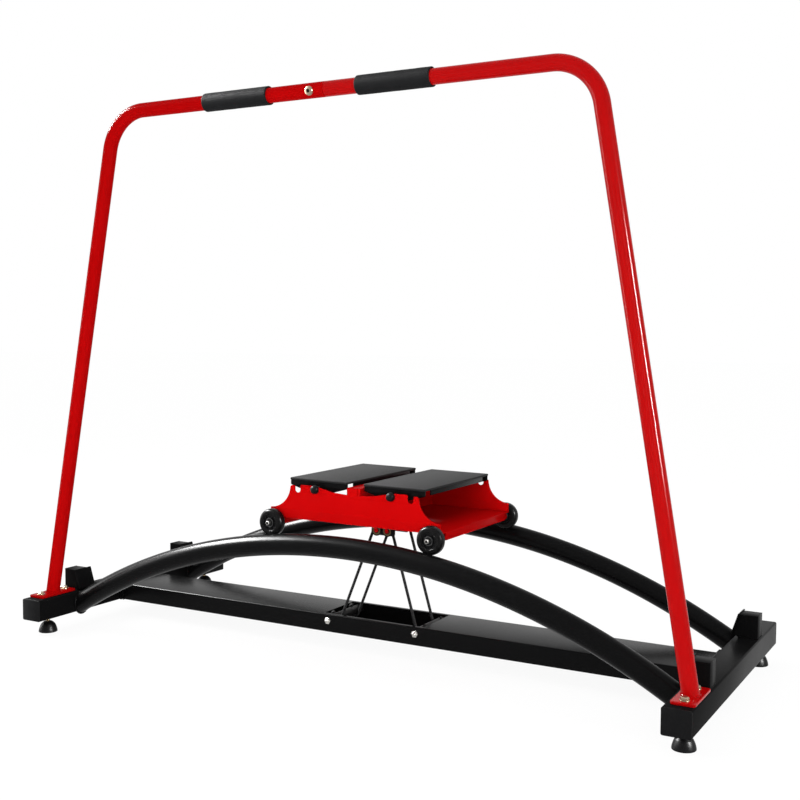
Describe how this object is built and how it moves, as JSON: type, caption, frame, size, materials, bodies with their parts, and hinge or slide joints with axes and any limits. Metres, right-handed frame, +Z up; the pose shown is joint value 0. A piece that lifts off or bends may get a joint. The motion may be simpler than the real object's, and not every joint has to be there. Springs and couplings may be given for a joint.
{
  "type": "rocking ski machine",
  "caption": "Freestanding rocking ski machine: a carriage with tilting footboards rolls on arched rails against elastic cords, with a tall inverted U hoop and foam grips to hold.",
  "frame": {"origin": "centre of the footprint, on the floor under the feet", "axes": "+Z up, +X to the right along the machine, -Y to the front where the hoop stands"},
  "size_m": [1.9, 0.826, 1.4735],
  "materials": {
    "red_paint": "gloss red paint",
    "black_paint": "satin black powder coat",
    "zinc_steel": "bright zinc plating",
    "black_steel": "blackened steel",
    "foam_grip": "soft matte foam",
    "wheel_tyre": "smooth moulded tyre on a black hub",
    "black_plastic": "matte moulded plastic",
    "foot_rubber": "moulded rubber with a steel stem",
    "elastic_cord": "woven cover"
  },
  "bodies": {
    "base": {"crossbar_left": "black_paint", "crossbar_right": "black_paint", "center_beam": "black_paint", "rail_front": "black_paint", "rail_back": "black_paint", "stop_left_front": "black_paint", "stop_left_back": "black_paint", "stop_right_front": "black_paint", "stop_right_back": "black_paint", "end_cap_left_front": "black_plastic", "end_cap_left_back": "black_plastic", "end_cap_right_front": "black_plastic", "end_cap_right_back": "black_plastic", "hoop_left": "red_paint", "hoop_right": "red_paint", "hoop_sleeve": "black_steel", "hoop_joint_bolt": "zinc_steel", "grip_left": "foam_grip", "grip_right": "foam_grip", "plate_bolt_left_front": "zinc_steel", "plate_bolt_left_back": "zinc_steel", "plate_bolt_right_front": "zinc_steel", "plate_bolt_right_back": "zinc_steel", "cord_bolt_left": "zinc_steel", "cord_bolt_right": "zinc_steel", "cord_bolt_nut_left": "zinc_steel", "cord_bolt_nut_right": "zinc_steel", "elastic_cord_front": "elastic_cord", "elastic_cord_back": "elastic_cord"},
    "carriage": {"carriage_tray": "red_paint", "center_channel": "red_paint", "axle_tube_left": "red_paint", "axle_tube_right": "red_paint", "axle_bolt_left_front": "zinc_steel", "axle_bolt_left_back": "zinc_steel", "axle_bolt_right_front": "zinc_steel", "axle_bolt_right_back": "zinc_steel", "pivot_rod_left": "black_steel", "pivot_rod_right": "black_steel", "pulley_bracket": "black_paint", "pulley_pin_left": "red_paint", "pulley_pin_right": "red_paint"},
    "wheel_left_front": {"wheel_left_front": "wheel_tyre"},
    "wheel_left_back": {"wheel_left_back": "wheel_tyre"},
    "wheel_right_front": {"wheel_right_front": "wheel_tyre"},
    "wheel_right_back": {"wheel_right_back": "wheel_tyre"},
    "footboard_left": {"footboard_left": "black_paint"},
    "footboard_right": {"footboard_right": "black_paint"},
    "pulley_left_front": {"pulley_left_front": "black_plastic"},
    "pulley_left_back": {"pulley_left_back": "black_plastic"},
    "pulley_right_front": {"pulley_right_front": "black_plastic"},
    "pulley_right_back": {"pulley_right_back": "black_plastic"},
    "cord_sleeve_left": {"cord_sleeve_left": "black_steel"},
    "cord_sleeve_right": {"cord_sleeve_right": "black_steel"},
    "foot_left_front": {"foot_left_front": "foot_rubber"},
    "foot_left_back": {"foot_left_back": "foot_rubber"},
    "foot_right_front": {"foot_right_front": "foot_rubber"},
    "foot_right_back": {"foot_right_back": "foot_rubber"}
  },
  "joints": [
    {"name": "carriage_roll", "type": "hinge", "parent": "base", "child": "carriage", "pos_m": [0, 0, -1.38708], "axis": [0, 1, 0], "range_deg": [-21.6, 20.7], "stiffness_Nm_per_rad": 1500, "deforming": ["elastic_cord_front", "elastic_cord_back"]},
    {"name": "wheel_spin_left_front", "type": "hinge", "parent": "carriage", "child": "wheel_left_front", "pos_m": [-0.22312, -0.222, 0.35764], "axis": [0, 1, 0], "continuous": true},
    {"name": "wheel_spin_left_back", "type": "hinge", "parent": "carriage", "child": "wheel_left_back", "pos_m": [-0.22312, 0.222, 0.35764], "axis": [0, 1, 0], "continuous": true},
    {"name": "wheel_spin_right_front", "type": "hinge", "parent": "carriage", "child": "wheel_right_front", "pos_m": [0.25087, -0.222, 0.35387], "axis": [0, 1, 0], "continuous": true},
    {"name": "wheel_spin_right_back", "type": "hinge", "parent": "carriage", "child": "wheel_right_back", "pos_m": [0.25087, 0.222, 0.35387], "axis": [0, 1, 0], "continuous": true},
    {"name": "footboard_rock_left", "type": "hinge", "parent": "carriage", "child": "footboard_left", "pos_m": [-0.09887, 0, 0.45115], "axis": [0, 1, 0], "range_deg": [-10, 10], "stiffness_Nm_per_rad": 20},
    {"name": "footboard_rock_right", "type": "hinge", "parent": "carriage", "child": "footboard_right", "pos_m": [0.12812, 0, 0.44935], "axis": [0, 1, 0], "range_deg": [-10, 10], "stiffness_Nm_per_rad": 20},
    {"name": "pulley_spin_left_front", "type": "hinge", "parent": "carriage", "child": "pulley_left_front", "pos_m": [-0.00283, -0.047, 0.33088], "axis": [0, 1, 0], "continuous": true},
    {"name": "pulley_spin_left_back", "type": "hinge", "parent": "carriage", "child": "pulley_left_back", "pos_m": [-0.00283, 0.047, 0.33088], "axis": [0, 1, 0], "continuous": true},
    {"name": "pulley_spin_right_front", "type": "hinge", "parent": "carriage", "child": "pulley_right_front", "pos_m": [0.03017, -0.047, 0.33062], "axis": [0, 1, 0], "continuous": true},
    {"name": "pulley_spin_right_back", "type": "hinge", "parent": "carriage", "child": "pulley_right_back", "pos_m": [0.03017, 0.047, 0.33062], "axis": [0, 1, 0], "continuous": true},
    {"name": "cord_sleeve_turn_left", "type": "hinge", "parent": "base", "child": "cord_sleeve_left", "pos_m": [-0.135, 0, 0.075], "axis": [0, 1, 0], "continuous": true},
    {"name": "cord_sleeve_turn_right", "type": "hinge", "parent": "base", "child": "cord_sleeve_right", "pos_m": [0.135, 0, 0.075], "axis": [0, 1, 0], "continuous": true},
    {"name": "foot_turn_left_front", "type": "hinge", "parent": "base", "child": "foot_left_front", "pos_m": [-0.9175, -0.35, 0.02], "axis": [0, 0, 1], "continuous": true},
    {"name": "foot_turn_left_back", "type": "hinge", "parent": "base", "child": "foot_left_back", "pos_m": [-0.9175, 0.35, 0.02], "axis": [0, 0, 1], "continuous": true},
    {"name": "foot_turn_right_front", "type": "hinge", "parent": "base", "child": "foot_right_front", "pos_m": [0.9175, -0.35, 0.02], "axis": [0, 0, 1], "continuous": true},
    {"name": "foot_turn_right_back", "type": "hinge", "parent": "base", "child": "foot_right_back", "pos_m": [0.9175, 0.35, 0.02], "axis": [0, 0, 1], "continuous": true}
  ],
  "couplings": [
    {"joint": "wheel_spin_left_front", "follows": "carriage_roll", "ratio": 51.043},
    {"joint": "wheel_spin_left_back", "follows": "carriage_roll", "ratio": 51.043},
    {"joint": "wheel_spin_right_front", "follows": "carriage_roll", "ratio": 51.043},
    {"joint": "wheel_spin_right_back", "follows": "carriage_roll", "ratio": 51.043},
    {"joint": "pulley_spin_left_front", "follows": "carriage_roll", "ratio": -30},
    {"joint": "pulley_spin_left_back", "follows": "carriage_roll", "ratio": -30},
    {"joint": "pulley_spin_right_front", "follows": "carriage_roll", "ratio": -30},
    {"joint": "pulley_spin_right_back", "follows": "carriage_roll", "ratio": -30}
  ]
}
